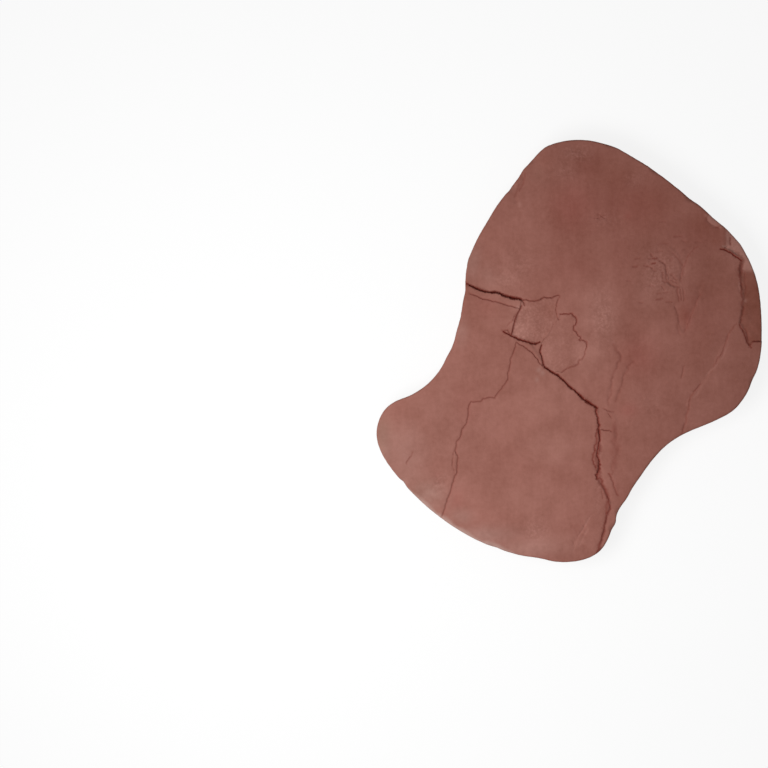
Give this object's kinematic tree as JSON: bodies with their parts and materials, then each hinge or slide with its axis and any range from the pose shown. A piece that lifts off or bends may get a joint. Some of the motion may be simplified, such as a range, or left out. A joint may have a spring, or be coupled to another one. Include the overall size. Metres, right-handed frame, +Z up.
{
  "type": "flagstone",
  "caption": "Irregular split-stone paving slab with a rounded, waisted outline, a cracked and flaked walking face and a flat bed face, for stepping paths and patios.",
  "frame": {"origin": "middle of the stone's plan box, on the bed face that lies on the ground", "axes": "+Z up from the bed face to the walking face, +Y along the stone's longer side in plan, +X across it, as seen from above"},
  "size_m": [0.4895, 0.5363, 0.04],
  "materials": {
    "stone": "matte"
  },
  "bodies": {
    "root": {"flagstone": "stone"}
  },
  "joints": []
}
